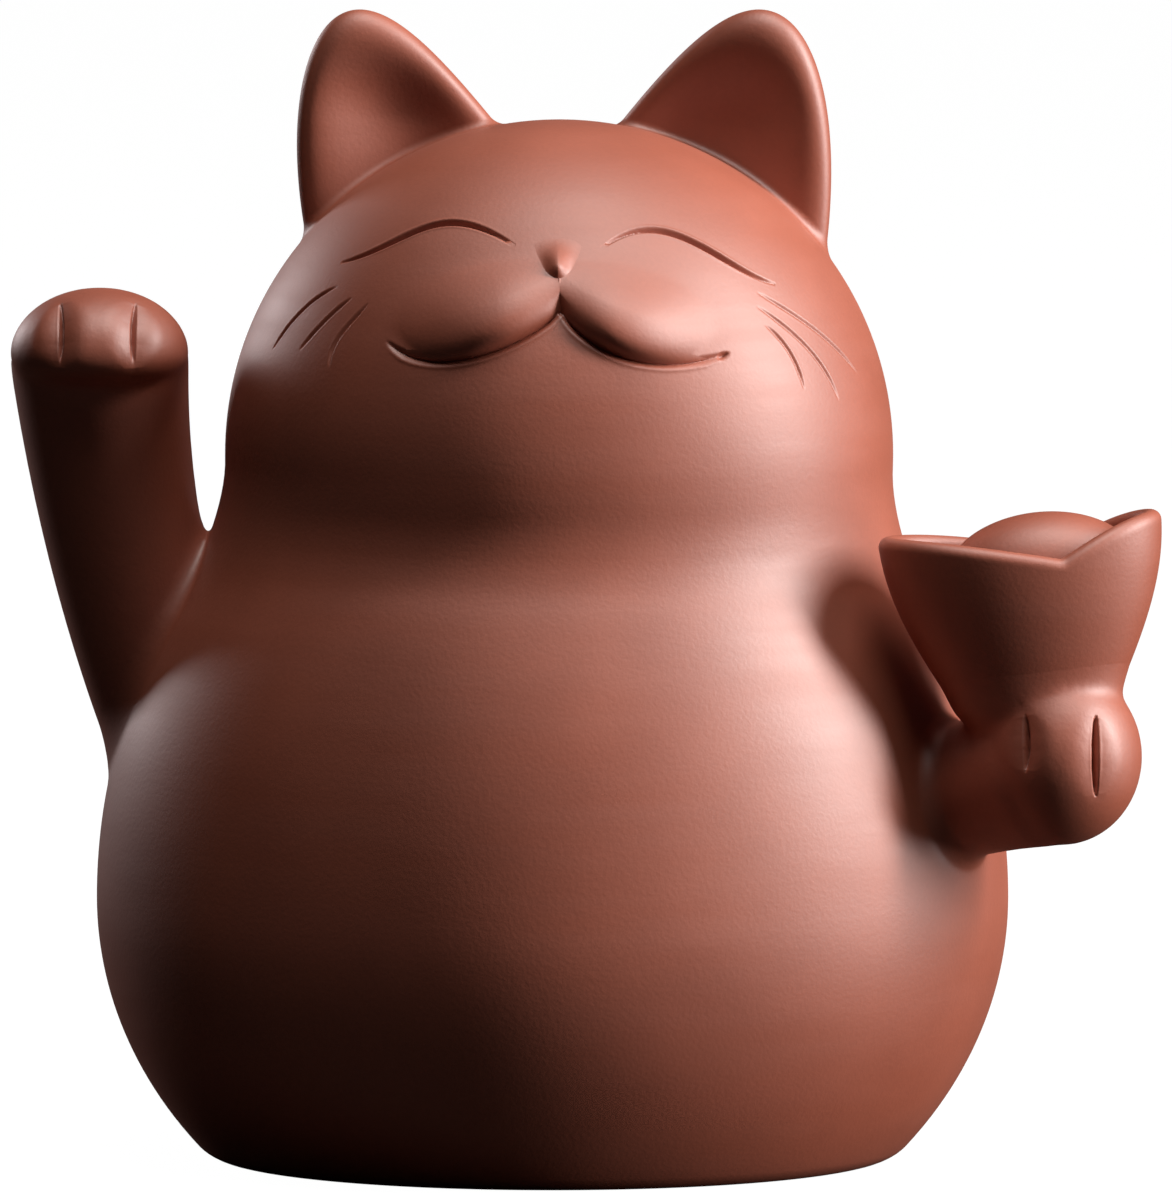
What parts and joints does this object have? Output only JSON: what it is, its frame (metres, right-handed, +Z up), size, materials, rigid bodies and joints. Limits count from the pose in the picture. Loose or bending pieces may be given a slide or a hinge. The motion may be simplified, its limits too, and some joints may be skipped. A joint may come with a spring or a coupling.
{
  "type": "beckoning cat figurine",
  "caption": "Hollow unglazed stoneware cat ornament with a round belly, closed smiling eyes, a raised beckoning paw and a boat-shaped ingot held on the other paw.",
  "frame": {"origin": "centre of the flat base, on the surface the figure stands on", "axes": "+Z up, -Y towards the viewer of the face, +X to that viewer's right"},
  "size_m": [0.1029, 0.0755, 0.1034],
  "materials": {
    "clay": "burnished, unglazed, soft sheen",
    "base_clay": "bare, unglazed, matt"
  },
  "bodies": {
    "root": {"belly_shell": "clay", "head_shell": "clay", "base_disc": "base_clay", "right_ear": "clay", "left_ear": "clay", "right_muzzle_pad": "clay", "left_muzzle_pad": "clay", "nose": "clay", "raised_arm": "clay", "raised_paw": "clay", "ingot_arm": "clay", "ingot_paw": "clay", "ingot_boat": "clay", "ingot_mound": "clay", "tail": "clay"}
  },
  "joints": []
}
